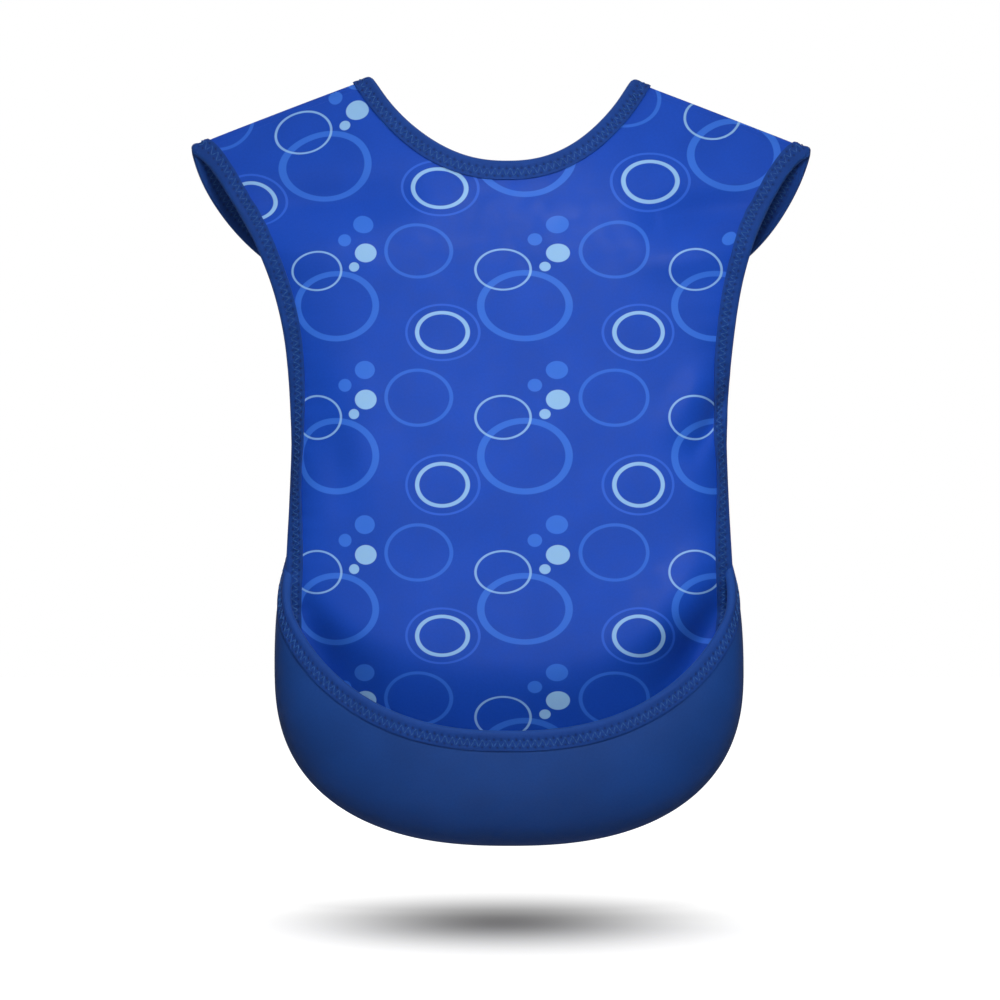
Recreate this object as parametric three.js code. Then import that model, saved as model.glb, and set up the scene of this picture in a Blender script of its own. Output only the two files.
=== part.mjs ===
// A toddler's catch-all bib with cap sleeves, as it hangs from the wearer's shoulders.
//
// Two layers of soft coated cloth make the front, and two more make each back flap, with a folded
// binding round every free edge. The back flaps turn about the shoulder folds and lap at the back,
// where a hook patch meets a loop patch. A scoop pocket is sewn round the bottom of the front, and
// its mouth gapes.
//
// Millimetres. +Z is up, -Y is the front, +X is the right as seen from the front. The origin is the
// middle of the line between the two neck corners, on the shoulder folds.
import * as THREE from 'three'

// ---------------------------------------------------------------------------- driving dimensions
const LAYER = 0.9 // one layer of cloth
const LAYER_GAP = 0.3 // between the two layers of a panel
const CLOTH_HALF = LAYER + LAYER_GAP / 2 // from a panel's middle surface to its face
const HINGE_GAP = 3.2 // below the shoulder fold, where a panel's solid starts
const BINDING_START = 3 // how much further down the bindings start

const NECK_HALF = 66.6 // half the neck opening, to the cloth's own edge
const NECK_DROP = 42 // depth of the front neckline
const BACK_NECK_DROP = 48
const NECK_POWER = 2.3 // 2 is a parabola, and more is squarer
const SHOULDER_START = 64.6 // where the shoulder fold is level with the origin
const SHOULDER_SLOPE = 0.382 // fall of the fold for each millimetre outwards
const SLEEVE_HALF = 152 // end of the shoulder fold

const WAIST_HALF = 104
const SLEEVE_FLARE = 40 // how much wider than the waist the sleeve is, but for its tip
const SLEEVE_REACH = 49.5 // height over which the armhole comes in
const SLEEVE_POWER = 1.4
const TIP_FLARE = 8 // how much further the sleeve's tip reaches
const TIP_REACH = 4
const HIP_FLARE = 8
const WAIST_Z = -180 // where the sides begin to widen again
const HIP_Z = -294 // widest point, where the round bottom starts
const HEM_DEPTH = 81.5 // from the hips to the lowest point of the front
const HEM_POWERS = [0.83, 0.83] // roundness across and down, where 1 is an ellipse
const SLEEVE_Z = shoulderZ(SLEEVE_HALF) - HINGE_GAP

const CHEST_DEPTH = 38 // the chest hangs this far in front of the shoulder fold
const CHEST_REACH = 100 // height over which the chest comes forward
const FLAT_HALF = 40 // half width of the flat middle of the front
const BODY_ANGLE = radians(10) // turn of the front between its flat middle and its rolled edge
const ROLL_LENGTH = 24 // cloth in the rolled edge
const ROLL_ANGLE = radians(20)
const WAIST_ROLL = radians(46) // what the waist adds to the roll
const WAIST_ROLL_Z = -195
const WAIST_ROLL_ABOVE = 48
const WAIST_ROLL_BELOW = 36

const BACK_DEPTH = 55
const BACK_REACH = 120
const BACK_WIDTH = 260
const FLAP_POWERS = [0.49, 1.67] // of the flap's lower edge, as for the hem
const TAB_CENTRE = new THREE.Vector2(2, -78) // of the flap's round end
const TAB_WIDTH = 26
const TAB_HEIGHT = 30
const LAP_RISE = 6 // how far the outer flap stands off the inner one
const LAP_FROM = 68
const LAP_TO = 28
const PATCH_HALF_HEIGHT = 17
const PATCH_INNER = -8.5 // the patch's edge nearest the tab's end
const PATCH_OUTER = 20
const PATCH_GAP = 0.3
const PATCH_THICK = 1

const POCKET_HALF = 114.6 // widest, at the hips
const POCKET_TOP_Z = -236 // where the rim's ends start
const POCKET_SEAM_TOP_Z = -239 // where the seam starts, behind them
const POCKET_SEAM_TOP_BACK = 8 // how much further back the seam is there
const POCKET_TOP_NARROWING = 2.5
const POCKET_HEM_DEPTH = 83.6
const POCKET_SEAM_BACK = 1 // the seam lies this far behind the front panel's middle surface
const RIM_TOP_Z = -250 // where the rim turns upright
const RIM_HALF = 112.1
const RIM_DROP = 72.6 // from there to the middle of the rim
const RIM_FORWARD = 40 // how far the rim stands in front of the chest
const RIM_SIDE_BACK = 4 // how far the rim's upright ends stand behind the chest's plane
const RIM_POWERS = [0.833, 1.25, 1.3] // roundness of the rim across, down and forward
const POCKET_BELLY = 0.87 // roundness of the pocket's wall, where 1 is a quarter circle

const BINDING_REACH = 8 // how far the binding's legs lie over the cloth
const BINDING_LIP = 2 // how far its fold stands outside the cloth's edge
const BINDING_HALF = 2.5 // half its thickness
const SLOT_HALF = 1.7
const SLOT_END = 0.4

// ---------------------------------------------------------------------------- materials
const fabric = (color, roughness) => () => new THREE.MeshStandardMaterial({ color, roughness, metalness: 0 })
const printedCloth = fabric(0x2f57ba, 0.6)
const liningCloth = fabric(0x14264b, 0.85)
const pocketCloth = fabric(0x21407f, 0.65)
const bindingCloth = fabric(0x274c8e, 0.8)
const hookTape = fabric(0x122348, 0.9)
const loopTape = fabric(0x1a2f5c, 0.95)

function radians(degrees) {
  return (degrees * Math.PI) / 180
}

// ---------------------------------------------------------------------------- closed bodies
// A named mesh from shared points and triangles, turned so that its faces point out.
function body(name, points, triangles, material) {
  const volume = triangles.reduce((sum, [a, b, c]) => {
    return sum + points[a].dot(new THREE.Vector3().crossVectors(points[b], points[c]))
  }, 0)
  const index = triangles.flatMap(([a, b, c]) => (volume > 0 ? [a, b, c] : [a, c, b]))
  const geometry = new THREE.BufferGeometry().setFromPoints(points)
  geometry.setIndex(index)
  geometry.computeVertexNormals()
  const mesh = new THREE.Mesh(geometry, material())
  mesh.name = name
  return mesh
}

const quad = (a, b, c, d) => [
  [a, b, c],
  [a, c, d],
]

// A layer of cloth: the grid of spots, each with a point and a normal, thickened from one height
// above the middle surface to another.
function layer(name, grid, low, high, material) {
  const rows = grid.length
  const columns = grid[0].length
  const sheet = rows * columns
  const points = [low, high].flatMap((height) =>
    grid.flat().map((spot) => spot.point.clone().addScaledVector(spot.normal, height)),
  )
  const at = (row, column) => row * columns + column
  const triangles = []
  for (let row = 0; row < rows - 1; row++) {
    for (let column = 0; column < columns - 1; column++) {
      const corners = [at(row, column), at(row, column + 1), at(row + 1, column + 1), at(row + 1, column)]
      triangles.push(...quad(...corners).map(([a, b, c]) => [a, c, b]))
      triangles.push(...quad(...corners.map((corner) => corner + sheet)))
    }
  }
  const rim = []
  for (let column = 0; column < columns - 1; column++) rim.push(at(0, column))
  for (let row = 0; row < rows - 1; row++) rim.push(at(row, columns - 1))
  for (let column = columns - 1; column > 0; column--) rim.push(at(rows - 1, column))
  for (let row = rows - 1; row > 0; row--) rim.push(at(row, 0))
  rim.forEach((corner, i) => {
    const next = rim[(i + 1) % rim.length]
    triangles.push(...quad(corner, next, next + sheet, corner + sheet))
  })
  return body(name, points, triangles, material)
}

// The folded tape's section: how far in over the cloth each corner lies, and its height above it.
// Its legs have corners at three distances, so that the tape follows a bent panel.
const LEG = [0, BINDING_REACH / 2, BINDING_REACH]
const BINDING_SECTION = [
  [-BINDING_LIP, BINDING_HALF],
  ...LEG.slice(1).map((reach) => [reach, BINDING_HALF]),
  ...LEG.slice(1).reverse().map((reach) => [reach, SLOT_HALF]),
  [-SLOT_END, SLOT_HALF],
  [-SLOT_END, -SLOT_HALF],
  ...LEG.slice(1).map((reach) => [reach, -SLOT_HALF]),
  ...LEG.slice(1).reverse().map((reach) => [reach, -BINDING_HALF]),
  [-BINDING_LIP, -BINDING_HALF],
].map(([reach, height]) => new THREE.Vector2(reach, height))

// Folded tape along an edge. Each station is the spots at the leg's distances in from the edge.
function binding(name, edge, material = bindingCloth) {
  const count = BINDING_SECTION.length
  const points = edge.flatMap((spots) => {
    const out = spots[0].point.clone().sub(spots[1].point).normalize()
    return BINDING_SECTION.map(({ x: reach, y: height }) => {
      const spot = spots[Math.max(LEG.indexOf(reach), 0)]
      return spot.point
        .clone()
        .addScaledVector(out, Math.max(-reach, 0))
        .addScaledVector(spot.normal, height)
    })
  })
  const triangles = []
  for (let i = 0; i < edge.length - 1; i++) {
    for (let k = 0; k < count; k++) {
      const next = (k + 1) % count
      triangles.push(...quad(i * count + k, i * count + next, (i + 1) * count + next, (i + 1) * count + k))
    }
  }
  const last = (edge.length - 1) * count
  for (const [a, b, c] of THREE.ShapeUtils.triangulateShape(BINDING_SECTION, [])) {
    triangles.push([a, c, b], [last + a, last + b, last + c])
  }
  return body(name, points, orient(triangles, points), material)
}

// Triangles of one closed surface, each turned to agree with its neighbours.
function orient(triangles, points) {
  const owners = new Map()
  const key = (a, b) => a * points.length + b
  triangles.forEach((triangle, i) => {
    triangle.forEach((a, k) => {
      const b = triangle[(k + 1) % 3]
      for (const side of [key(a, b), key(b, a)]) owners.set(side, [...(owners.get(side) ?? []), i])
    })
  })
  const runs = (triangle, from, to) => triangle.some((a, k) => a === from && triangle[(k + 1) % 3] === to)
  const done = [...triangles]
  const seen = new Set([0])
  const waiting = [0]
  while (waiting.length) {
    const current = waiting.pop()
    const triangle = done[current]
    triangle.forEach((a, k) => {
      const b = triangle[(k + 1) % 3]
      for (const other of owners.get(key(a, b))) {
        if (seen.has(other)) continue
        if (runs(done[other], a, b)) done[other] = [done[other][0], done[other][2], done[other][1]]
        seen.add(other)
        waiting.push(other)
      }
    })
  }
  return done
}

// A spot part of the way from one spot to another.
const lerpSpot = (from, to, share) => ({
  point: from.point.clone().lerp(to.point, share),
  normal: from.normal.clone().lerp(to.normal, share),
})

// An edge whose first stretch is left uncovered, so that the tape clears the shoulder fold.
function trimmed(edge) {
  const [first, second] = edge
  const share = BINDING_START / first[0].point.distanceTo(second[0].point)
  return [first.map((spot, i) => lerpSpot(spot, second[i], share)), ...edge.slice(1)]
}

const trimmedBoth = (edge) => trimmed(trimmed(edge).reverse())

// ---------------------------------------------------------------------------- grids
// The inside of four curves that meet at their ends: top and bottom run along u, left and right
// along v, and each takes 0 to 1 and gives a point of the flat pattern. Rows lie closer together
// at the top the more crowding is above 1.
function fourSided(top, bottom, left, right, columns, rows, crowding = 1) {
  const between = (a, b, share) => a.clone().multiplyScalar(1 - share).addScaledVector(b, share)
  return Array.from({ length: rows + 1 }, (_, row) => {
    const v = (row / rows) ** crowding
    return Array.from({ length: columns + 1 }, (__, column) => {
      const u = column / columns
      const upright = between(top(u), bottom(u), v)
      const level = between(left(v), right(v), u)
      const corners = between(between(top(0), top(1), u), between(bottom(0), bottom(1), u), v)
      return upright.add(level).sub(corners)
    })
  })
}

// The spot of a surface at a point of its flat pattern.
function spotAt(surface, { x: across, y: up }) {
  const step = 0.5
  const alongAcross = surface(across + step, up).sub(surface(across - step, up))
  const alongUp = surface(across, up + step).sub(surface(across, up - step))
  const normal = new THREE.Vector3().crossVectors(alongUp, alongAcross).normalize()
  return { point: surface(across, up), normal }
}

const draped = (pattern, surface) => pattern.map((row) => row.map((point) => spotAt(surface, point)))

// Stations for a binding along part of a pattern's outline, whose inside is on the given side:
// 1 is the left of the direction of travel, and -1 is the right.
function outlineStations(outline, surface, side) {
  return outline.map((point, i) => {
    const before = outline[Math.max(i - 1, 0)]
    const after = outline[Math.min(i + 1, outline.length - 1)]
    const along = after.clone().sub(before).normalize()
    const inwards = new THREE.Vector2(-along.y, along.x).multiplyScalar(side)
    return LEG.map((reach) => spotAt(surface, point.clone().addScaledVector(inwards, reach)))
  })
}

const column = (grid, i) => grid.map((row) => row.at(i))

// A quarter of a rounded outline, from its level end to its upright end.
function quarter(centreX, centreZ, width, drop, [across, down]) {
  const steps = 24
  const points = Array.from({ length: steps + 1 }, (_, i) => {
    const turn = (i / steps) * (Math.PI / 2)
    const x = centreX + width * Math.sin(turn) ** across
    const z = centreZ - drop * Math.max(Math.cos(turn), 0) ** down
    return new THREE.Vector2(x, z)
  })
  return new THREE.SplineCurve(points)
}

// ---------------------------------------------------------------------------- shape of the bib
// Height of the shoulder fold, carried on as a smooth hollow between the neck corners.
function shoulderZ(x) {
  const reach = Math.abs(x)
  const eased = reach > SHOULDER_START ? reach : (SHOULDER_START + (reach * reach) / SHOULDER_START) / 2
  return SHOULDER_SLOPE * (SHOULDER_START - eased)
}

const neckZ = (x, drop) => drop * ((Math.abs(x) / NECK_HALF) ** NECK_POWER - 1)
const neckCorner = (drop) => NECK_HALF * (1 - HINGE_GAP / drop) ** (1 / NECK_POWER)

// Half the front's width at a height.
function sideHalf(z) {
  const below = Math.max(SLEEVE_Z - z, 0)
  const flare = SLEEVE_FLARE * Math.exp(-((below / SLEEVE_REACH) ** SLEEVE_POWER))
  const tip = TIP_FLARE * Math.exp(-below / TIP_REACH)
  const hip = Math.min(Math.max((WAIST_Z - z) / (WAIST_Z - HIP_Z), 0), 1)
  return WAIST_HALF + flare + tip + HIP_FLARE * hip ** 2
}

function rollAngle(z) {
  const reach = z > WAIST_ROLL_Z ? WAIST_ROLL_ABOVE : WAIST_ROLL_BELOW
  return ROLL_ANGLE + WAIST_ROLL * Math.exp(-(((z - WAIST_ROLL_Z) / reach) ** 2))
}

// The bends across the front at a height: a flat middle, a gentle bend, then the rolled edge.
function bends(z) {
  const end = rollAngle(z)
  const rollRadius = ROLL_LENGTH / (end - BODY_ANGLE)
  const rollStart = sideHalf(z) - rollRadius * (Math.sin(end) - Math.sin(BODY_ANGLE))
  const bodyRadius = (rollStart - FLAT_HALF) / Math.sin(BODY_ANGLE)
  return { rollRadius, rollStart, bodyRadius, rollFrom: FLAT_HALF + bodyRadius * BODY_ANGLE }
}

// Half the width that the front is cut to at a height.
const cutHalf = (z) => bends(z).rollFrom + ROLL_LENGTH

// The front's middle surface. Across is measured along the cloth from its middle.
function frontSurface(across, z) {
  const { rollRadius, rollStart, bodyRadius, rollFrom } = bends(z)
  const reach = Math.abs(across)
  const bodyTurn = Math.min(Math.max(reach - FLAT_HALF, 0) / bodyRadius, BODY_ANGLE)
  let x = Math.min(reach, FLAT_HALF) + bodyRadius * Math.sin(bodyTurn)
  let back = bodyRadius * (1 - Math.cos(bodyTurn))
  if (reach > rollFrom) {
    const turn = BODY_ANGLE + (reach - rollFrom) / rollRadius
    x = rollStart + rollRadius * (Math.sin(turn) - Math.sin(BODY_ANGLE))
    back += rollRadius * (Math.cos(BODY_ANGLE) - Math.cos(turn))
  }
  const nearFold = Math.max(1 - (shoulderZ(x) - z) / CHEST_REACH, 0) ** 2
  return new THREE.Vector3(Math.sign(across) * x, (back - CHEST_DEPTH) * (1 - nearFold), z)
}

// The back's middle surface. The lap lifts the right flap over the left one.
const backSurface = (sign, lap) => (x, z) => {
  const below = Math.min((shoulderZ(x) - z) / BACK_REACH, 1)
  const drape = BACK_DEPTH * (1 - (x / BACK_WIDTH) ** 2) * Math.sin((below * Math.PI) / 2)
  const share = THREE.MathUtils.smoothstep(-sign * x, -LAP_FROM, -LAP_TO)
  return new THREE.Vector3(x, drape + lap * share, z)
}

// ---------------------------------------------------------------------------- front
function frontPattern() {
  const columns = 28
  const rows = 16
  const neckShare = 0.5 // share of the columns under the neckline
  const crowding = 1.25
  const corner = neckCorner(NECK_DROP)
  const sleeve = cutHalf(SLEEVE_Z)
  const hip = cutHalf(HIP_Z)
  const top = (u) => {
    const side = 2 * u - 1
    const across = Math.abs(side)
    if (across <= neckShare) {
      const x = (corner * side) / neckShare
      return new THREE.Vector2(x, neckZ(x, NECK_DROP))
    }
    const x = corner + ((sleeve - corner) * (across - neckShare)) / (1 - neckShare)
    return new THREE.Vector2(Math.sign(side) * x, shoulderZ(x) - HINGE_GAP)
  }
  const hem = quarter(0, HIP_Z, hip, HEM_DEPTH, HEM_POWERS)
  const bottom = (u) => {
    const side = 2 * u - 1
    const point = hem.getPointAt(Math.abs(side))
    return new THREE.Vector2(Math.sign(side) * point.x, point.y)
  }
  const side = (sign) => (v) => {
    const z = top(1).y + (HIP_Z - top(1).y) * v
    return new THREE.Vector2(sign * cutHalf(z), z)
  }
  return fourSided(top, bottom, side(-1), side(1), columns, rows, crowding)
}

function front() {
  const pattern = frontPattern()
  const grid = draped(pattern, frontSurface)
  const columns = grid[0].length
  const quarterWay = (columns - 1) / 4
  const boundRows = 15 // the side bindings end inside the pocket
  const neck = pattern[0].slice(quarterWay, columns - quarterWay)
  const left = column(pattern, 0).slice(0, boundRows)
  const right = column(pattern, -1).slice(0, boundRows)
  const group = new THREE.Group()
  group.add(
    layer('front_outer', grid, -CLOTH_HALF, -LAYER_GAP / 2, printedCloth),
    layer('front_lining', grid, LAYER_GAP / 2, CLOTH_HALF, liningCloth),
    binding('neck_binding', trimmedBoth(outlineStations(neck, frontSurface, -1))),
    binding('left_side_binding', trimmed(outlineStations(left, frontSurface, 1))),
    binding('right_side_binding', trimmed(outlineStations(right, frontSurface, -1))),
  )
  return group
}

// ---------------------------------------------------------------------------- back flaps
// The right flap laps over the left one. The left flap is its mirror image without the lap.
function flapPattern(sign) {
  const columns = 14
  const rows = 8
  const corner = neckCorner(BACK_NECK_DROP)
  const neckEdge = (u) => {
    const x = corner + (TAB_CENTRE.x - corner) * u
    return new THREE.Vector2(x, u === 1 ? TAB_CENTRE.y + TAB_HEIGHT : neckZ(x, BACK_NECK_DROP))
  }
  const sleeveWidth = SLEEVE_HALF - TAB_CENTRE.x
  const lowest = SLEEVE_Z - (TAB_CENTRE.y - TAB_HEIGHT)
  const armhole = quarter(TAB_CENTRE.x, SLEEVE_Z, sleeveWidth, lowest, FLAP_POWERS)
  const lowerEdge = (u) => armhole.getPointAt(1 - u)
  const foldEdge = (v) => {
    const x = corner + (SLEEVE_HALF - corner) * v
    return new THREE.Vector2(x, shoulderZ(x) - HINGE_GAP)
  }
  const tabEnd = (v) => {
    const turn = v * Math.PI
    const x = TAB_CENTRE.x - TAB_WIDTH * Math.sin(turn)
    return new THREE.Vector2(x, TAB_CENTRE.y + TAB_HEIGHT * Math.cos(turn))
  }
  const flat = fourSided(neckEdge, lowerEdge, foldEdge, tabEnd, columns, rows)
  return flat.map((row) => row.map((point) => new THREE.Vector2(sign * point.x, point.y)))
}

// The patch is a small panel on one face of the tab: side is 1 on the outside and -1 on the inside.
function patch(name, sign, surface, side, material) {
  const columns = 4
  const rows = 4
  const x = [PATCH_INNER, PATCH_OUTER].map((edge) => sign * edge)
  const flat = Array.from({ length: rows + 1 }, (_, row) => {
    const z = TAB_CENTRE.y + PATCH_HALF_HEIGHT * ((2 * row) / rows - 1)
    return Array.from({ length: columns + 1 }, (__, i) => {
      return new THREE.Vector2(x[0] + ((x[1] - x[0]) * i) / columns, z)
    })
  })
  const grid = draped(flat, surface)
  const near = CLOTH_HALF + PATCH_GAP
  const faces = [side * near, side * (near + PATCH_THICK)].sort((a, b) => a - b)
  return layer(name, grid, faces[0], faces[1], material)
}

function flap(name, sign, lap, patchName, patchSide, patchMaterial) {
  const pattern = flapPattern(sign)
  const surface = backSurface(sign, lap)
  const grid = draped(pattern, surface)
  const outline = [
    ...pattern[0],
    ...column(pattern, -1).slice(1),
    ...[...pattern.at(-1)].reverse().slice(1),
  ]
  const group = new THREE.Group()
  group.add(
    layer(`${name}_outer`, grid, LAYER_GAP / 2, CLOTH_HALF, printedCloth),
    layer(`${name}_lining`, grid, -CLOTH_HALF, -LAYER_GAP / 2, liningCloth),
    binding(`${name}_binding`, trimmedBoth(outlineStations(outline, surface, sign))),
    patch(patchName, sign, surface, patchSide, patchMaterial),
  )
  return group
}

// ---------------------------------------------------------------------------- pocket
// Half of the seam round the front's sides and bottom, from its top end to its lowest point.
function seamHalf() {
  const hem = quarter(0, HIP_Z, POCKET_HALF, POCKET_HEM_DEPTH, HEM_POWERS)
  const upright = [1, 0.66, 0.33].map((share) => {
    const z = HIP_Z + (POCKET_SEAM_TOP_Z - HIP_Z) * share
    return new THREE.Vector2(POCKET_HALF - POCKET_TOP_NARROWING * share ** 2, z)
  })
  const round = hem.getSpacedPoints(12).reverse()
  const points = [...upright, ...round].map(({ x, y: z }) => {
    const rise = Math.max(z - HIP_Z, 0) / (POCKET_SEAM_TOP_Z - HIP_Z)
    const behind = POCKET_SEAM_BACK + POCKET_SEAM_TOP_BACK * rise ** 2
    const { y } = frontSurface(Math.min(x, cutHalf(z)), z)
    return new THREE.Vector3(x, y + behind, z)
  })
  return new THREE.CatmullRomCurve3(points)
}

// Half of the rim, from its top end beside the front's edge to its middle.
function rimHalf() {
  const steps = 12
  const [across, down, forward] = RIM_POWERS
  const sideY = RIM_SIDE_BACK - CHEST_DEPTH
  const points = Array.from({ length: steps + 1 }, (_, i) => {
    const turn = (1 - i / steps) * (Math.PI / 2)
    const fall = Math.max(Math.cos(turn), 0)
    return new THREE.Vector3(
      RIM_HALF * Math.sin(turn) ** across,
      sideY - (RIM_FORWARD + RIM_SIDE_BACK) * fall ** forward,
      RIM_TOP_Z - RIM_DROP * fall ** down,
    )
  })
  return new THREE.CatmullRomCurve3([new THREE.Vector3(RIM_HALF, sideY, POCKET_TOP_Z), ...points])
}

// The pocket's wall: ribs from the rim to the seam, each one a rounded quarter turn.
function pocketGrid() {
  const columns = 28
  const rows = 8
  const turns = 24
  const rim = rimHalf()
  const seam = seamHalf()
  const rib = (u) => {
    const side = 2 * u - 1
    const from = rim.getPointAt(1 - Math.abs(side))
    const to = seam.getPointAt(1 - Math.abs(side))
    const curve = Array.from({ length: turns + 1 }, (_, i) => {
      const turn = (i / turns) * (Math.PI / 2)
      const down = Math.sin(turn) ** POCKET_BELLY
      const back = 1 - Math.max(Math.cos(turn), 0) ** POCKET_BELLY
      return new THREE.Vector3(
        (side < 0 ? -1 : 1) * THREE.MathUtils.lerp(from.x, to.x, down),
        THREE.MathUtils.lerp(from.y, to.y, back),
        THREE.MathUtils.lerp(from.z, to.z, down),
      )
    })
    return new THREE.CatmullRomCurve3(curve).getSpacedPoints(rows)
  }
  const ribs = Array.from({ length: columns + 1 }, (_, i) => rib(i / columns))
  const points = ribs[0].map((_, row) => ribs.map((curve) => curve[row]))
  return points.map((row, j) =>
    row.map((point, i) => {
      const across = row[Math.min(i + 1, columns)].clone().sub(row[Math.max(i - 1, 0)])
      const down = points[Math.min(j + 1, rows)][i].clone().sub(points[Math.max(j - 1, 0)][i])
      return { point, normal: new THREE.Vector3().crossVectors(down, across).normalize() }
    }),
  )
}

// A binding's station at the start of a line of spots.
function stationAlong(line) {
  return LEG.map((reach) => {
    let left = reach
    for (let i = 0; i < line.length - 1; i++) {
      const length = line[i].point.distanceTo(line[i + 1].point)
      if (left <= length) return lerpSpot(line[i], line[i + 1], left / length)
      left -= length
    }
    return line.at(-1)
  })
}

function pocket() {
  const grid = pocketGrid()
  const rim = grid[0].map((_, i) => stationAlong(column(grid, i))).slice(1, -1)
  const group = new THREE.Group()
  group.add(
    layer('pocket_outer', grid, LAYER_GAP / 2, CLOTH_HALF, pocketCloth),
    layer('pocket_lining', grid, -CLOTH_HALF, -LAYER_GAP / 2, liningCloth),
    binding('pocket_rim_binding', rim),
  )
  return group
}

// ---------------------------------------------------------------------------- the bib
const bib = new THREE.Group()
bib.add(
  front(),
  flap('right_flap', 1, LAP_RISE, 'hook_patch', -1, hookTape),
  flap('left_flap', -1, 0, 'loop_patch', 1, loopTape),
  pocket(),
)

export default bib
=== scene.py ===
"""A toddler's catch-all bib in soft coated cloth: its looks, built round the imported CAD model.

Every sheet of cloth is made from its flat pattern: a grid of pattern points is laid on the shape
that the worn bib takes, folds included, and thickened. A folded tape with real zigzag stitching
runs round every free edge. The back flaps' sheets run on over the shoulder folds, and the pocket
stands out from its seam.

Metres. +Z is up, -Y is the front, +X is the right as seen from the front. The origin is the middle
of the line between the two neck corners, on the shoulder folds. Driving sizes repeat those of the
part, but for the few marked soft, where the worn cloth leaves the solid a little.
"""

import math

import bpy
import numpy as np
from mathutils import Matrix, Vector


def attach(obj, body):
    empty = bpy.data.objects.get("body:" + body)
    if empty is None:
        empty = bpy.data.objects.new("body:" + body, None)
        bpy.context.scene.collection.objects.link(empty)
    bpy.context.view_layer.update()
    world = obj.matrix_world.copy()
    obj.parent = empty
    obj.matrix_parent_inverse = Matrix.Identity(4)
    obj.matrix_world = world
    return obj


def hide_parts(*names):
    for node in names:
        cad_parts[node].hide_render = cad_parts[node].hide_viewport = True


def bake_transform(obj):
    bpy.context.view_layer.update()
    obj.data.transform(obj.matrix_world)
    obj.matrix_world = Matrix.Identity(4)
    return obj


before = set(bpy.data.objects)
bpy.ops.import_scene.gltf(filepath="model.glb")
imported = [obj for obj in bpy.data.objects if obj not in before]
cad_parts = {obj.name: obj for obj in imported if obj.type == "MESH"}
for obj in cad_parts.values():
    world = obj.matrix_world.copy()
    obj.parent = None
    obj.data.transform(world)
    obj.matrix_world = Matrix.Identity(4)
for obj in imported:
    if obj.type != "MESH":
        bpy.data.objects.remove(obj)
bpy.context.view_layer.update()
MM = 0.001

# ---- driving dimensions
NECK_HALF = 66.6 * MM  # half the neck opening
NECK_DROP = 42 * MM
BACK_NECK_DROP = 48 * MM
NECK_POWER = 2.3
SHOULDER_START = 64.6 * MM  # where the shoulder fold is level with the origin
SHOULDER_SLOPE = 0.382
SLEEVE_HALF = 152 * MM
HINGE_GAP = 3.2 * MM
WAIST_HALF = 105 * MM  # soft
SLEEVE_FLARE = 39 * MM  # soft
SLEEVE_REACH = 49.5 * MM
SLEEVE_POWER = 1.3  # soft
TIP_FLARE = 8 * MM
TIP_REACH = 4 * MM
HIP_FLARE = 7 * MM  # soft
HIP_POWER = 1.1  # soft
WAIST_Z = -180 * MM
HIP_Z = -294 * MM
HEM_DEPTH = 81.5 * MM
HEM_POWERS = (0.83, 0.83)
CHEST_DEPTH = 38 * MM
CHEST_REACH = 100 * MM
FLAT_HALF = 40 * MM
BODY_ANGLE = math.radians(10)
ROLL_LENGTH = 24 * MM
ROLL_ANGLE = math.radians(20)
WAIST_ROLL = math.radians(46)
WAIST_ROLL_Z = -195 * MM
WAIST_ROLL_ABOVE = 48 * MM
WAIST_ROLL_BELOW = 36 * MM
BACK_DEPTH = 55 * MM
BACK_REACH = 120 * MM
BACK_WIDTH = 260 * MM
FLAP_POWERS = (0.49, 1.67)
TAB_CENTRE = np.array([2, -78]) * MM
TAB_WIDTH = 26 * MM
TAB_HEIGHT = 30 * MM
LAP_RISE = 6 * MM
LAP_FROM = 68 * MM
LAP_TO = 28 * MM
PATCH_LOW, PATCH_HIGH = np.array([-8.5, -17]) * MM, np.array([20, 17]) * MM
POCKET_HALF = 114.6 * MM
POCKET_TOP_Z = -236 * MM
POCKET_SEAM_TOP_Z = -239 * MM
POCKET_SEAM_TOP_BACK = 4 * MM  # soft
POCKET_TOP_NARROWING = 4 * MM  # soft
POCKET_HEM_DEPTH = 83.6 * MM
POCKET_SEAM_BACK = 1 * MM
RIM_TOP_Z = -250 * MM
RIM_HALF = 111.6 * MM  # soft
RIM_DROP = 72.6 * MM
RIM_FORWARD = 40 * MM
RIM_SIDE_BACK = 4 * MM
RIM_POWERS = (0.833, 1.25, 1.3)
POCKET_BELLY = 0.87
POCKET_COLUMNS, POCKET_ROWS = 241, 61

# Where the cloth gives way. A pair of numbers is where a change starts and where it is full.
TUCK_FROM_Z = -268 * MM  # above this the pocket's ends tuck in behind the side tapes
RIM_TUCK = np.array([-6, 15, 13]) * MM
SEAM_TUCK = np.array([-6, 1, 12]) * MM
POCKET_SAG = 1.3 * MM
RIM_HOLLOW = 14 * MM  # how far the front falls back behind the rim
RIM_HOLLOW_ABOVE = (36 * MM, -18 * MM)  # heights above the rim
RIM_HOLLOW_END = (20 * MM, 48 * MM)  # depths below the rim, where it fades again
RIM_HOLLOW_SIDES = (0.78, 1.0)  # shares of the rim's width, where it fades too
SETTLED = (4 * MM, 30 * MM)  # depths below the shoulder fold, for folds and puckers
PUCKER_HEIGHT = 0.16 * MM
PUCKER_REACH = 7 * MM
FLAP_WAVE = 1.1 * MM
FLAP_WAVE_DEPTH = (10 * MM, 50 * MM)

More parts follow.
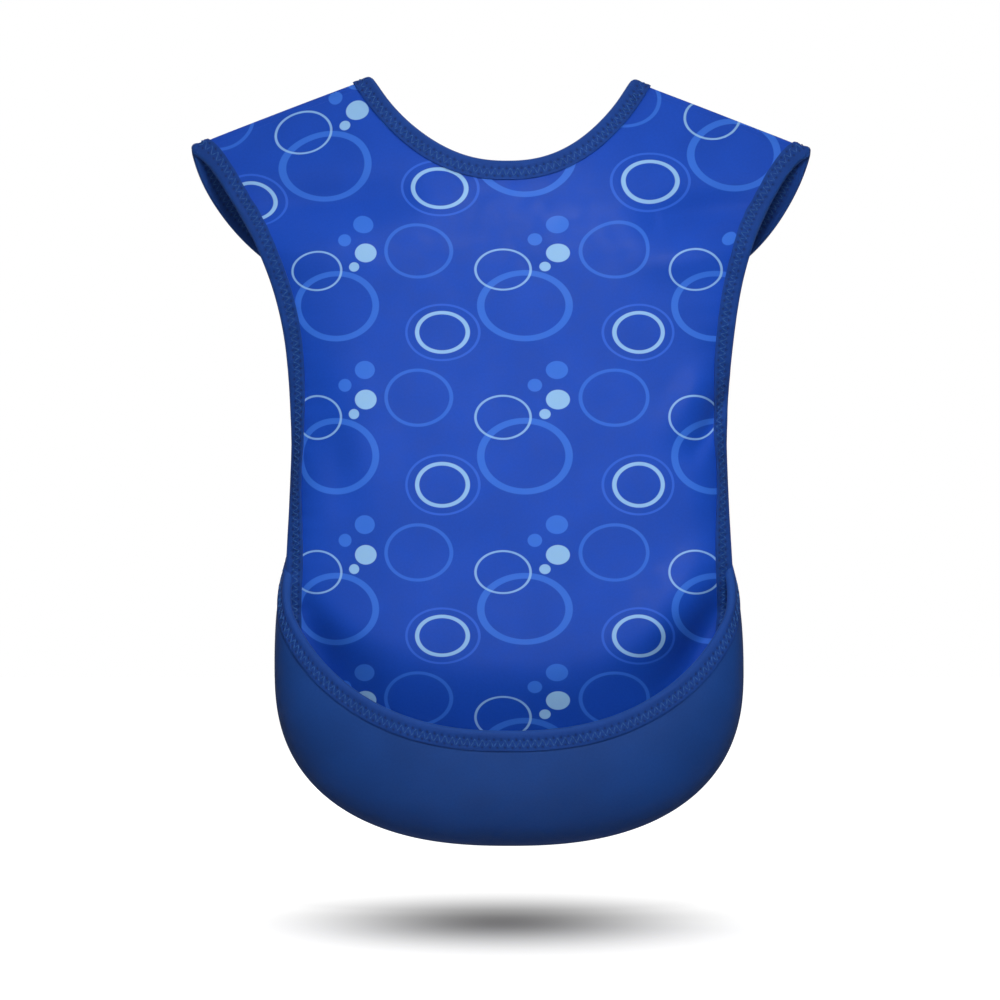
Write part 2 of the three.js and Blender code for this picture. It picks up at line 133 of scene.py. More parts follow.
# Cloth, tape and thread.
CLOTH_MIDDLE = 0.6 * MM  # each of a panel's two layers lies this far from the middle surface
CLOTH_THICK = 0.8 * MM
FOLD_RADIUS = 1.3 * MM  # the cloth's bend over the shoulder fold
FOLD_STRIP = 4 * MM  # the flaps' sheets start this far below the fold, on the front
TAPE_REACH = 8 * MM  # how far in over the cloth the tape's legs lie
TAPE_LIP = 2 * MM  # how far its folded edge stands outside the cloth
TAPE_FOLD_FROM = 0.5 * MM  # where its round fold begins
TAPE_HALF = 2.35 * MM  # half its thickness, legs and cloth together
TAPE_WORN, TAPE_EDGE = 0.35 * MM, 1.4 * MM  # its legs are thinner by this, this near their edges
TAPE_STATIONS_PER_PERIOD = 8
STITCH_REACH = 4.4 * MM  # middle of the zigzag
STITCH_HALF = 1.9 * MM
STITCH_PERIOD = 3.6 * MM
DENT, DENT_REACH = 0.42 * MM, 2.2 * MM  # the stitching presses the tape in
HOLE_RADIUS, HOLE_DEPTH = 0.55 * MM, 0.5 * MM
THREAD_RADIUS = 0.27 * MM
THREAD_SIDES = 6
THREAD_RISE, THREAD_SINK = 1.5, 0.9  # in thread radii, between two needle holes and in one
THREAD_STATIONS = 6  # from one needle hole to the next
THREAD_MARGIN = 0.5 * MM  # left at the tape's ends
SIDE_TAPE_END_Z = -284 * MM  # the side tapes run on down inside the pocket
PATCH_THICK, PATCH_GAP = 0.9 * MM, 0.1 * MM
PATCH_CORNER = 0.16  # how much its corners are drawn in
PATCH_SEWN = 0.88  # its stitching's share of its size
PATCH_STITCHES, PATCH_STITCH_STATIONS = 60, 12
SEAM_HALF, SEAM_THICK_HALF, SEAM_SIDES = 1.7 * MM, 3.4 * MM, 16
SEAM_BACK, SEAM_IN = 1.2 * MM, 0.9 * MM  # its middle's place beside the pocket wall's edge

# The worn bib hangs a little to one side, and one shoulder sits a little higher.
SWAY = 4 * MM
SWAY_DEPTH = (40 * MM, 135 * MM)
NECK_SWAY = 3 * MM
NECK_SWAY_HALF = 70 * MM
NECK_SWAY_Z = -35 * MM
NECK_SWAY_REACH = 35 * MM
SHOULDER_LIFT = 1.6 * MM
LIFT_OUT = (45 * MM, 75 * MM)
LIFT_Z = (-60 * MM, -25 * MM)


# ---- curves
def smoothstep(value, low, high):
    t = np.clip((value - low) / (high - low), 0, 1)
    return t * t * (3 - 2 * t)


def unit(vectors):
    return vectors / np.linalg.norm(vectors, axis=-1, keepdims=True)


def along_line(points):
    """How far along a polyline each of its points lies."""
    steps = np.linalg.norm(np.diff(points, axis=0), axis=1)
    return np.concatenate([[0], np.cumsum(steps)])


def between(place, places, rows):
    """Rows of values, read at a place between theirs."""
    return np.stack([np.interp(place, places, column) for column in rows.T], -1)


def by_length(points):
    """A polyline as a function of the share of its length."""
    at = along_line(points)
    return lambda share: between(share, at / at[-1], points)


def quarter(centre, width, drop, powers):
    """A quarter of a rounded outline, from its lowest point to its upright end."""
    turn = np.linspace(0, math.pi / 2, 160)
    x = centre[0] + width * np.sin(turn) ** powers[0]
    z = centre[1] - drop * np.maximum(np.cos(turn), 0) ** powers[1]
    return np.stack([x, z], -1)


def four_sided(top, bottom, left, right, us, vs):
    """Points inside four curves that meet at their ends. Rows run down, and columns across."""
    u, v = us[None, :, None], vs[:, None, None]
    above, below = top(us)[None], bottom(us)[None]
    sides = left(vs)[:, None] * (1 - u) + right(vs)[:, None] * u
    corners = (above[:, :1] * (1 - u) + above[:, -1:] * u) * (1 - v)
    corners = corners + (below[:, :1] * (1 - u) + below[:, -1:] * u) * v
    return above * (1 - v) + below * v + sides - corners


# ---- the worn shape
def shoulder_z(x):
    reach = np.abs(x)
    level = (SHOULDER_START + reach**2 / SHOULDER_START) / 2
    return SHOULDER_SLOPE * (SHOULDER_START - np.where(reach > SHOULDER_START, reach, level))


SLEEVE_Z = float(shoulder_z(SLEEVE_HALF)) - HINGE_GAP


def neck_z(x, drop):
    return drop * ((np.abs(x) / NECK_HALF) ** NECK_POWER - 1)


def neck_corner(drop, depth):
    """Where the neckline is that far below the shoulder fold."""
    x = np.linspace(0.8, 1, 2000) * NECK_HALF
    below = shoulder_z(x) - neck_z(x, drop)
    return float(np.interp(depth, below[::-1], x[::-1]))


def side_half(z):
    below = np.maximum(SLEEVE_Z - z, 0)
    flare = SLEEVE_FLARE * np.exp(-((below / SLEEVE_REACH) ** SLEEVE_POWER))
    tip = TIP_FLARE * np.exp(-below / TIP_REACH)
    hip = np.clip((WAIST_Z - z) / (WAIST_Z - HIP_Z), 0, 1)
    return WAIST_HALF + flare + tip + HIP_FLARE * hip**HIP_POWER


def bends(z):
    """The front's bends at a height: the radii of the roll and the body, and where they meet."""
    reach = np.where(z > WAIST_ROLL_Z, WAIST_ROLL_ABOVE, WAIST_ROLL_BELOW)
    end = ROLL_ANGLE + WAIST_ROLL * np.exp(-(((z - WAIST_ROLL_Z) / reach) ** 2))
    roll_radius = ROLL_LENGTH / (end - BODY_ANGLE)
    roll_start = side_half(z) - roll_radius * (np.sin(end) - math.sin(BODY_ANGLE))
    body_radius = (roll_start - FLAT_HALF) / math.sin(BODY_ANGLE)
    return roll_radius, body_radius, FLAT_HALF + body_radius * BODY_ANGLE


def cut_half(z):
    """Half the width that the front is cut to at a height."""
    return bends(z)[2] + ROLL_LENGTH


def sleeve_corner():
    """Half the cut width where the front's sheets end, a strip below the shoulder fold."""
    x = SLEEVE_HALF
    for _ in range(40):
        x = cut_half(shoulder_z(x) - FOLD_STRIP)
    return x


def rounded(depth):
    """Depth below the shoulder fold once the cloth's bend is rounded."""
    near = np.exp(-((depth / (8 * FOLD_RADIUS)) ** 2))
    return np.hypot(depth, FOLD_RADIUS) - FOLD_RADIUS * near


# Soft drape folds of the front: from one end to the other (x, z), half width and height. A height
# below zero is a hollow.
FOLDS = [
    ((-124, -64), (-52, -58), 11, -6),
    ((-124, -86), (-76, -86), 10, 2.2),
    ((132, -62), (78, -68), 11, -6.4),
    ((120, -84), (70, -90), 9, 3),
    ((114, -148), (92, -184), 6, -4.2),
    ((98, -146), (80, -172), 8, 2.6),
    ((-104, -136), (-84, -204), 12, -2.2),
    ((-78, -150), (-66, -214), 14, 1.2),
    ((120, -244), (78, -302), 11, -7.0),
    ((98, -236), (60, -280), 11, 4.0),
    ((-108, -262), (-70, -310), 11, -2.4),
    ((-24, -96), (44, -112), 26, 0.9),
    ((-50, -236), (30, -252), 26, -0.9),
]


def drape(across, z):
    """How far the folds lift the front off its plain shape."""
    height = np.zeros_like(across)
    for start, end, width, rise in FOLDS:
        start, end = np.array(start) * MM, np.array(end) * MM
        along = end - start
        share = ((across - start[0]) * along[0] + (z - start[1]) * along[1]) / (along @ along)
        near = np.clip(share, 0, 1)
        away = np.hypot(across - start[0] - near * along[0], z - start[1] - near * along[1])
        fullness = 1 - 0.5 * (2 * near - 1) ** 2
        height = height + rise * MM * fullness * np.exp(-((away / (width * MM)) ** 2))
    return height - RIM_HOLLOW * in_rim_hollow(across, z)


def in_rim_hollow(across, z):
    """1 along the pocket's rim, where the front hangs back from it, and 0 far from it."""
    out = np.clip(np.abs(across) / RIM_HALF, 0, 1)
    rim_z = RIM_TOP_Z - RIM_DROP * (1 - out ** (2 / RIM_POWERS[0])) ** (RIM_POWERS[1] / 2)
    inside = 1 - smoothstep(out, *RIM_HOLLOW_SIDES)
    kept = 1 - smoothstep(rim_z - z, *RIM_HOLLOW_END)
    return smoothstep(z - rim_z, *RIM_HOLLOW_ABOVE) * kept * inside


def puckers(along, away):
    """Small ripples that the stitching draws up beside a bound edge."""
    fade = np.exp(-((np.maximum(away - TAPE_REACH, 0) / PUCKER_REACH) ** 1.5))
    wave = np.sin(along / (1.45 * MM)) + 0.7 * np.sin(along / (2.3 * MM) + 1.3)
    return PUCKER_HEIGHT * wave * fade


def front_surface(across, z):
    """The front's middle surface at a point of its flat pattern."""
    roll_radius, body_radius, roll_from = bends(z)
    reach = np.abs(across)
    body_turn = np.clip((reach - FLAT_HALF) / body_radius, 0, BODY_ANGLE)
    turn = BODY_ANGLE + np.maximum(reach - roll_from, 0) / roll_radius
    x = np.minimum(reach, FLAT_HALF) + body_radius * np.sin(body_turn)
    x = x + roll_radius * (np.sin(turn) - math.sin(BODY_ANGLE))
    rolled_back = roll_radius * (math.cos(BODY_ANGLE) - np.cos(turn))
    back = body_radius * (1 - np.cos(body_turn)) + rolled_back
    depth = shoulder_z(across) - z
    near = np.maximum(1 - depth / CHEST_REACH, 0) ** 2
    settled = smoothstep(depth, *SETTLED)
    ripple = puckers(z, cut_half(z) - reach) * settled
    y = (back - CHEST_DEPTH) * (1 - near) - drape(across, z) * settled + ripple
    return np.stack([np.sign(across) * x, y, shoulder_z(across) - rounded(depth)], -1)


def mirror_in_fold(across, z, side=None):
    """The point beyond a shoulder's fold, which is straight. side is 1 on the right."""
    side = np.where(across < 0, -1, 1) if side is None else side
    tilt = math.atan(SHOULDER_SLOPE)
    away = (across * side - SHOULDER_START) * math.sin(tilt) + z * math.cos(tilt)
    return across - 2 * away * math.sin(tilt) * side, z - 2 * away * math.cos(tilt), away


def flap_surface(lap):
    """A back flap's middle surface. Above the fold its pattern runs on down the front."""

    def surface(across, up):
        mirrored_across, mirrored_z, away = mirror_in_fold(across, up)
        on_front = front_surface(mirrored_across, mirrored_z)
        x = front_surface(across, shoulder_z(across))[..., 0]
        depth = np.maximum(shoulder_z(across) - up, 0)
        hang = np.sin(np.minimum(depth / BACK_REACH, 1) * math.pi / 2)
        lapped = lap * smoothstep(-across, -LAP_FROM, -LAP_TO)
        waves = FLAP_WAVE * np.sin(x / (17 * MM) + up / (31 * MM))
        waves = waves * smoothstep(depth, *FLAP_WAVE_DEPTH)
        y = BACK_DEPTH * (1 - (x / BACK_WIDTH) ** 2) * hang + lapped + waves
        on_back = np.stack([x, y, shoulder_z(across) - rounded(depth)], -1)
        return np.where(away[..., None] > 0, on_front, on_back)

    return surface


# ---- meshes
def normals_of(surface, first, second, step=0.4 * MM):
    """Unit normals of a surface at its pattern points."""
    du = surface(first + step, second) - surface(first - step, second)
    dv = surface(first, second + step) - surface(first, second - step)
    return unit(np.cross(dv, du))


def sway(x, z):
    """How far the bib hangs to the right and up of where it was cut to hang."""
    near_neck = np.exp(-((x / NECK_SWAY_HALF) ** 2) - ((z - NECK_SWAY_Z) / NECK_SWAY_REACH) ** 2)
    right = SWAY * smoothstep(-z, *SWAY_DEPTH) + NECK_SWAY * near_neck
    up = SHOULDER_LIFT * smoothstep(-x, *LIFT_OUT) * smoothstep(z, *LIFT_Z)
    return right, up


def swayed(points):
    right, up = sway(points[:, 0], points[:, 2])
    return points + np.stack([right, 0 * right, up], -1)


def add_object(name, data):
    made = bpy.data.objects.new(name, data)
    bpy.context.scene.collection.objects.link(made)
    return made


def make_piece(name, points, faces, material, cloth, flat=0):
    """A smooth mesh, but for its last flat faces. cloth gives each point's place on its cloth."""
    points = swayed(np.asarray(points).reshape(-1, 3))
    faces = np.asarray(faces)
    a, b, c = (points[faces[:, k]] for k in range(3))
    if np.einsum("ij,ij->", a, np.cross(b, c)) < 0:
        faces = faces[:, ::-1]
    mesh = bpy.data.meshes.new(name)
    mesh.from_pydata(points, [], faces.tolist())
    mesh.polygons.foreach_set("use_smooth", np.arange(len(faces)) < len(faces) - flat)
    attribute = mesh.attributes.new("cloth", "FLOAT_VECTOR", "POINT")
    attribute.data.foreach_set("vector", np.asarray(cloth, np.float32).reshape(-1))
    mesh.materials.append(material)
    return add_object(name, mesh)


def on_cloth(along, across, third=0.0):
    """Places on cloth from their coordinates, each spread over the whole grid."""
    return np.stack(np.broadcast_arrays(along, across, third), -1)


def tube(line, sideways, up, wide, high, sides):
    """Rings of points round a line, and how far round it each lies."""
    turn = np.linspace(0, math.tau, sides, endpoint=False)
    ring = np.cos(turn)[None, :, None] * sideways[:, None] * wide
    return line[:, None] + ring + np.sin(turn)[None, :, None] * up[:, None] * high, turn


def grid_faces(rows, columns, offset=0, around=False):
    """Quads between neighbouring points of a grid. around joins the last column to the first."""
    row = np.arange(rows - 1)[:, None] * columns
    here = np.arange(columns if around else columns - 1)[None]
    there = (here + 1) % columns
    corners = [row + here, row + there, row + columns + there, row + columns + here]
    return np.stack([c.ravel() for c in corners], -1) + offset


def slab(name, points, normals, low, high, material, cloth):
    """A sheet of cloth: a grid of points thickened from one height to another along the normals."""
    rows, columns = points.shape[:2]
    sheet = rows * columns
    faces = grid_faces(rows, columns)
    index = np.arange(sheet).reshape(rows, columns)
    rim = np.concatenate([index[0, :-1], index[:-1, -1], index[-1, :0:-1], index[:0:-1, 0]])
    after = np.roll(rim, -1)
    walls = np.stack([rim, after, after + sheet, rim + sheet], -1)
    faces = np.concatenate([faces[:, ::-1], faces + sheet, walls])
    layers = [points + normals * low, points + normals * high]
    return make_piece(name, layers, faces, material, [cloth, cloth], flat=len(walls))


def two_sheets(name, points, normals, material, place):
    """A panel's outer cloth and lining, on both sides of its middle surface."""
    low, high = CLOTH_MIDDLE - CLOTH_THICK / 2, CLOTH_MIDDLE + CLOTH_THICK / 2
    outer = slab(f"{name}_outer_cloth", points, normals, low, high, material, place)
    lining = slab(f"{name}_lining_cloth", points, normals, -high, -low, LINING, place)
    return outer, lining


# ---- bound edges
def edge_of(surface, outline, side):
    """Places points by how far they lie along an edge, in over the cloth, and above it.

    side is 1 where the cloth is on the left of the direction of travel in the pattern, and -1 on
    the right. Gives the function, and the edge's length.
    """
    even = by_length(outline)(np.linspace(0, 1, 600))
    window = np.hanning(13) / np.hanning(13).sum()
    tangent = np.gradient(even, axis=0).T
    ahead = [np.convolve(np.pad(t, len(window) // 2, "edge"), window, "valid") for t in tangent]
    inward = side * unit(np.stack([-ahead[1], ahead[0]], -1))
    steps = along_line(surface(*even.T))

    def place(along, reach, height):
        along, reach, height = np.broadcast_arrays(along, reach, height)
        q, n = between(along, steps, even), between(along, steps, inward)
        inside = np.moveaxis(q + n * np.maximum(reach, 0)[..., None], -1, 0)
        normals = normals_of(surface, *inside)
        step_in = surface(*np.moveaxis(q + n * MM, -1, 0))
        outwards = unit(surface(*np.moveaxis(q, -1, 0)) - step_in)
        points = surface(*inside) + outwards * np.maximum(-reach, 0)[..., None]
        return points + normals * height[..., None], normals

    return place, steps[-1]


def tape_height(reach):
    """Height of the tape's face above the cloth's middle surface."""
    folded = np.minimum(reach - TAPE_FOLD_FROM, 0) / (TAPE_LIP + TAPE_FOLD_FROM)
    pressed = DENT * np.exp(-(((reach - STITCH_REACH) / DENT_REACH) ** 2))
    thinning_and_highlight = TAPE_WORN * smoothstep(reach, TAPE_REACH - TAPE_EDGE, TAPE_REACH)
    return (TAPE_HALF - pressed - thinning_and_highlight) * np.sqrt(np.maximum(1 - folded**2, 0))


def needle_holes(along, reach):
    """1 at the zigzag's needle holes, falling to 0 round them."""
    half = STITCH_PERIOD / 2
    count = np.round(along / half)
    centre = STITCH_REACH + STITCH_HALF * np.where(count % 2 == 0, 1, -1)
    away = np.hypot(along - count * half, reach - centre)
    return np.exp(-((away / HOLE_RADIUS) ** 2))


# The tape's section: its face, from a leg's edge to the fold, and the slot that holds the cloth.
LEG = [8, 7.9, 7.4, 6.8, 6.2, 5.6, 5, 4.4, 3.8, 3.2, 2.6, 2, 1.2, 0.3, -0.6, -1.3, -1.8, -2]
SLOT = [-0.3, 4, 7.8]
SLOT_HALF = 1.05 * MM


def tape(name, edge):
    """Folded tape along an edge: two legs and a round fold, pressed in where it is stitched."""
    place, length = edge
    stations = int(length / STITCH_PERIOD * TAPE_STATIONS_PER_PERIOD)
    along = np.linspace(0, length, stations)[:, None]
    back, inner = LEG[-2::-1], 2 * len(SLOT)
    outer = len(LEG) + len(back)
    count = outer + inner
    reach = np.array(LEG + back + SLOT[::-1] + SLOT)[None] * MM
    face = np.repeat([1, -1, 1], [len(LEG), len(back) + len(SLOT), len(SLOT)])[None]
    outside = np.repeat([1, 0], [outer, inner])[None]
    holes = needle_holes(along, reach) * outside
    wander = 0.14 * MM * np.sin(along / (9 * MM)) + 0.1 * MM * np.sin(along / (4.1 * MM) + 2)
    height = tape_height(reach) + wander * np.sin(np.clip(reach / TAPE_REACH, 0, 1) * math.pi)
    height = np.where(outside > 0, height - HOLE_DEPTH * holes, SLOT_HALF) * face
    faces = [grid_faces(stations, count, around=True), end_caps(stations, count, outer)]
    points = place(along, reach, height)[0]
    # the holes also go to the material, which paints shade into them
    return make_piece(name, points, np.concatenate(faces), TAPE, on_cloth(along, reach, holes))


def end_caps(stations, count, outer):
    """Quads that close the C-shaped section's two ends, from its outer side to its slot."""
    k = np.arange(outer)
    slot = outer + np.round((outer - 1 - k) / (outer - 1) * (count - outer - 1)).astype(int)
    cap = np.stack([k[:-1], k[1:], slot[1:], slot[:-1]], -1)
    return np.concatenate([cap[:, ::-1], cap + (stations - 1) * count])


def stitching(name, edge):
    """Zigzag thread on both faces of a tape. It dives into the tape at each needle hole."""
    place, length = edge
    half = STITCH_PERIOD / 2
    count = int((length - 2 * THREAD_MARGIN) / half)
    along = THREAD_MARGIN + np.arange(count * THREAD_STATIONS + 1) / THREAD_STATIONS * half
    swing = 1 - 2 * np.abs((along / half) % 2 - 1)
    reach = STITCH_REACH - STITCH_HALF * np.clip(-swing * 1.04, -1, 1)
    lift = np.abs(np.sin(math.pi * along / half)) ** 0.6
    height = tape_height(reach) + THREAD_RADIUS * (THREAD_RISE * lift - THREAD_SINK)
    points, faces, cloth = [], [], []
    for first, face in ((0, 1), (len(along) * THREAD_SIDES, -1)):
        line, normal = place(along, reach, height * face)
        sideways = unit(np.cross(unit(np.gradient(line, axis=0)), normal))
        rings, turn = tube(line, sideways, normal, THREAD_RADIUS, THREAD_RADIUS, THREAD_SIDES)
        faces.append(grid_faces(len(along), THREAD_SIDES, first, around=True))
        points.append(rings)
        cloth.append(on_cloth(along[:, None], turn * THREAD_RADIUS))
    return make_piece(name, points, np.concatenate(faces), THREAD, cloth)


# ---- materials
class Shader:
    """Builds one material's nodes. Values are numbers, tuples or other nodes' sockets."""

    def __init__(self, name):
        self.material = bpy.data.materials.new(name)
        self.material.use_nodes = True
        self.tree = self.material.node_tree
        self.surface = self.tree.nodes["Principled BSDF"]

    def node(self, kind, values=(), output=0, **settings):
        made = self.tree.nodes.new(kind)
        for key, value in settings.items():
            setattr(made, key, value)
        for key, value in dict(values).items():
            self.link(made.inputs[key], value)
        return made.outputs[output]

    def link(self, socket, value):
        if isinstance(value, bpy.types.NodeSocket):
            self.tree.links.new(value, socket)
        else:
            socket.default_value = value

    def math(self, operation, a, b=0.0, clamp=False):
        return self.node("ShaderNodeMath", {0: a, 1: b}, operation=operation, use_clamp=clamp)

    def times(self, a, b):
        return self.math("MULTIPLY", a, b)

    def wave(self, value, pitch):
        return self.math("SINE", self.times(value, math.tau / pitch))

    def vector(self, operation, a, b=(0, 0, 0), output=0):
        return self.node("ShaderNodeVectorMath", {0: a, 1: b}, output=output, operation=operation)

    def mix(self, share, a, b):
        return self.node("ShaderNodeMix", {0: share, 6: a, 7: b}, output=2, data_type="RGBA")

    def ramp(self, value, low, high, to_low=0.0, to_high=1.0):
        values = {0: value, 1: low, 2: high, 3: to_low, 4: to_high}
        return self.node("ShaderNodeMapRange", values, interpolation_type="SMOOTHSTEP")

    def parts(self, vector):
        return self.node("ShaderNodeSeparateXYZ", {0: vector}).node.outputs

    def noise(self, place, scale, detail=2.0, output=0):
        values = {"Vector": place, "Scale": scale, "Detail": detail}
        return self.node("ShaderNodeTexNoise", values, output=output)

    def bump(self, height, distance, strength=1.0, normal=None):
        values = {"Height": height, "Distance": distance, "Strength": strength}
        if normal is not None:
            values["Normal"] = normal
        return self.node("ShaderNodeBump", values)

    def finish(self, color, roughness, normal, sheen, specular):
        values = {
            "Base Color": color, "Roughness": roughness, "Normal": normal,
            "Sheen Weight": sheen, "Sheen Roughness": 0.5, "Sheen Tint": (0.5, 0.65, 1, 1),
            "Specular IOR Level": specular,
        }
        for key, value in values.items():
            self.link(self.surface.inputs[key], value)
        return self.material


def cloth_shader(name):
    """A material's shader, and the place on the cloth for its textures."""
    shader = Shader(name)
    return shader, shader.node("ShaderNodeAttribute", output=1, attribute_name="cloth")


def linear(red, green, blue):
    """A display colour from 0 to 255 as the renderer's linear colour."""
    shares = [value / 255 for value in (red, green, blue)]
    return tuple(s / 12.92 if s <= 0.04045 else ((s + 0.055) / 1.055) ** 2.4 for s in shares) + (1,)


def knit(shader, place, pitch):
    """Height of a fine knit: rows of small loops."""
    along, up = shader.parts(place)[:2]
    loops = shader.times(shader.wave(along, pitch), shader.wave(up, pitch * 0.8))
    return shader.times(shader.math("ADD", loops, 1.0), 0.5)


def aged(shader, place, color, amount, scale=35.0):
    """A colour with soft, uneven variation, as dyed and handled cloth has."""
    cloudy = shader.noise(place, scale, 4.0)
    fine = shader.noise(place, 900.0, 2.0)
    value = shader.ramp(cloudy, 0.3, 0.7, 1 - amount, 1 + amount)
    fine = shader.ramp(fine, 0.25, 0.75, 1 - amount * 0.6, 1 + amount * 0.6)
    value = shader.times(value, fine)
    return shader.node("ShaderNodeHueSaturation", {"Value": value, "Color": color})


# The print: a repeat of rings and dots. Each motif is its middle from the large dot, its radii and
# its stroke (0 is a filled dot), its colour and how strongly it covers.
PRINT_REPEAT = np.array([97.7, 72.9]) * MM
PRINT_START = np.array([28.1, -87.7]) * MM
PALE, MIDDLE, FAINT = linear(152, 200, 245), linear(56, 118, 228), linear(48, 104, 220)
MOTIFS = [
    ((-16.3, -26.6), (21.8, 16.5), 3.7, MIDDLE, 0.85),
    ((28.1, 1.0), (17.0, 13.2), 1.9, MIDDLE, 0.75),
    ((40.5, -40.0), (18.4, 13.8), 1.3, FAINT, 0.9),
    ((-0.5, 14.3), (5.5, 4.4), 0, MIDDLE, 0.95),
    ((-11.4, 6.9), (3.6, 3.1), 0, MIDDLE, 0.95),
    ((40.5, -40.0), (12.7, 9.8), 2.2, PALE, 0.95),
    ((-27.1, -8.4), (13.6, 10.2), 1.2, PALE, 0.8),
    ((-6.4, -6.9), (2.8, 2.4), 0, PALE, 0.95),
    ((0, 0), (5.9, 4.7), 0, PALE, 0.97),
]
PRINT_GATHER_FROM = 35 * MM  # on the left the cloth is drawn in, from here outwards
PRINT_GATHER_WIDTH = 62 * MM
PRINT_GATHER = 6.4 * MM
PRINT_GATHER_POWER = 1.2
PRINT_SPREAD = 0.07  # the left shoulder stretches it sideways
PRINT_SPREAD_Z = (-85 * MM, -35 * MM)
PRINT_RIGHT_SHIFT = np.array([4.4, 4]) * MM  # and the right one moves it
PRINT_RIGHT_OUT, PRINT_RIGHT_Z = (20 * MM, 60 * MM), (-85 * MM, -50 * MM)
PRINT_SLEEVE_FROM = 69 * MM  # the left sleeve pulls it down, from here outwards
PRINT_SLEEVE_PULL = 0.11
PRINT_SLEEVE_Z = (-110 * MM, -60 * MM)
PRINT_SLEEVE_DRAW = 2.5 * MM  # and outwards
PRINT_SLEEVE_DRAW_OUT = (90 * MM, 120 * MM)
PRINT_RIGHT_DRAW = 3 * MM  # the right side draws it in, and the right shoulder out
PRINT_RIGHT_DRAW_OUT = (55 * MM, 105 * MM)
PRINT_RIGHT_TURN, PRINT_RIGHT_TURN_Z = 1.7, (-90 * MM, -60 * MM)  # from 1, in, to -0.7, out
PRINT_TOP_Z = -14.8 * MM
PRINT_HEIGHT = 291.7 * MM
PRINT_STRETCH = np.array([1.33, 1.55, -0.97]) * MM  # its uneven stretch down the front


def print_place(across, z):
    """Where a point of the flat pattern lies in the print."""
    right, up = sway(across, z)
    across, z = across + right, z + up
    gathered = np.maximum(-across - PRINT_GATHER_FROM, 0) / PRINT_GATHER_WIDTH
    x = across - PRINT_GATHER * gathered**PRINT_GATHER_POWER
    x = x / (1 + PRINT_SPREAD * smoothstep(z, *PRINT_SPREAD_Z) * (across < 0))
    on_right = smoothstep(across, *PRINT_RIGHT_OUT) * smoothstep(z, *PRINT_RIGHT_Z)
    pulled = smoothstep(z, *PRINT_SLEEVE_Z)
    drawn_out = PRINT_SLEEVE_DRAW * smoothstep(-across, *PRINT_SLEEVE_DRAW_OUT) * pulled
    drawn_in = PRINT_RIGHT_DRAW * smoothstep(across, *PRINT_RIGHT_DRAW_OUT)
    drawn_in = drawn_in * (1 - PRINT_RIGHT_TURN * smoothstep(z, *PRINT_RIGHT_TURN_Z))
    x = x - PRINT_RIGHT_SHIFT[0] * on_right + drawn_out + drawn_in
    z = z + PRINT_SLEEVE_PULL * np.maximum(-across - PRINT_SLEEVE_FROM, 0) * pulled
    down = np.clip((PRINT_TOP_Z - z) / PRINT_HEIGHT, 0, 1)
    stretch = sum(a * np.sin(math.pi * (k + 1) * down) for k, a in enumerate(PRINT_STRETCH))
    return on_cloth(x, z - stretch - PRINT_RIGHT_SHIFT[1] * on_right)


def motif_mask(shader, place, middle, radii, stroke):
    """1 inside a dot or on a ring, with a soft edge, repeated all over the cloth."""
    half = PRINT_REPEAT / 2
    centre = PRINT_START + np.array(middle) * MM
    moved = shader.vector("SUBTRACT", place, (*centre, 0))
    wrap = {0: moved, 1: (*half, 1), 2: (*-half, -1)}
    wrapped = shader.node("ShaderNodeVectorMath", wrap, operation="WRAP")
    scaled = shader.vector("DIVIDE", wrapped, (*(np.array(radii) * MM), 1))
    away = shader.vector("LENGTH", scaled, output=1)
    soft = 0.2 / radii[0]
    if stroke == 0:
        return shader.ramp(away, 1 - soft, 1 + soft, 1.0, 0.0)
    off_line = shader.math("ABSOLUTE", shader.math("SUBTRACT", away, 1.0))
    half_stroke = stroke / 2 / radii[0]
    return shader.ramp(off_line, half_stroke - soft, half_stroke + soft, 1.0, 0.0)


def coated(shader, place, color, pitch, loop_height, loop_share, roughness, sheen, specular):
    """The finish of coated cloth: a fine knit, a soft crumple and uneven gloss."""
    normal = shader.bump(shader.noise(place, 60.0, 5.0), 1.2 * MM, 0.25)
    normal = shader.bump(knit(shader, place, pitch), loop_height, loop_share, normal)
    gloss = shader.noise(place, 140.0, 3.0)
    rough = shader.ramp(gloss, 0.3, 0.7, roughness - 0.06, roughness + 0.06)
    return shader.finish(color, rough, normal, sheen, specular)


def printed_cloth():
    shader, place = cloth_shader("printed_cloth")
    color = aged(shader, place, linear(20, 75, 190), 0.05)
    for middle, radii, stroke, ink, cover in MOTIFS:
        mask = motif_mask(shader, place, middle, radii, stroke)
        color = shader.mix(shader.times(mask, cover), color, ink)
    loops = {"pitch": 0.55 * MM, "loop_height": 0.05 * MM, "loop_share": 0.35}
    return coated(shader, place, color, roughness=0.56, sheen=0.04, specular=0.2, **loops)


def plain_cloth(name, color, pitch, roughness, sheen):
    shader, place = cloth_shader(name)
    tint = aged(shader, place, color, 0.07)
    loops = {"pitch": pitch, "loop_height": 0.08 * MM, "loop_share": 0.5}
    return coated(shader, place, tint, roughness=roughness, sheen=sheen, specular=0.22, **loops)


def tape_cloth():
    """Ribbed tape, with painted shade in its needle holes and a painted highlight along its round
    fold.
    """
    shader, place = cloth_shader("binding_tape")
    _, reach, hole_shade = shader.parts(place)
    color = aged(shader, place, linear(18, 65, 147), 0.09, 60.0)
    # painted highlight: the tape's round fold is painted paler
    thinning_and_highlight = shader.ramp(reach, -2.2 * MM, 0.6 * MM, 0.35, 0.0)
    color = shader.mix(thinning_and_highlight, color, linear(40, 90, 170))
    # painted shade: the needle holes are painted darker
    color = shader.mix(shader.times(hole_shade, 0.75), color, linear(6, 20, 58))
    ribs = shader.wave(reach, 0.7 * MM)
    normal = shader.bump(shader.noise(place, 300.0, 4.0), 0.4 * MM, 0.4)
    normal = shader.bump(ribs, 0.06 * MM, 0.4, normal)
    return shader.finish(color, 0.72, normal, sheen=0.08, specular=0.25)


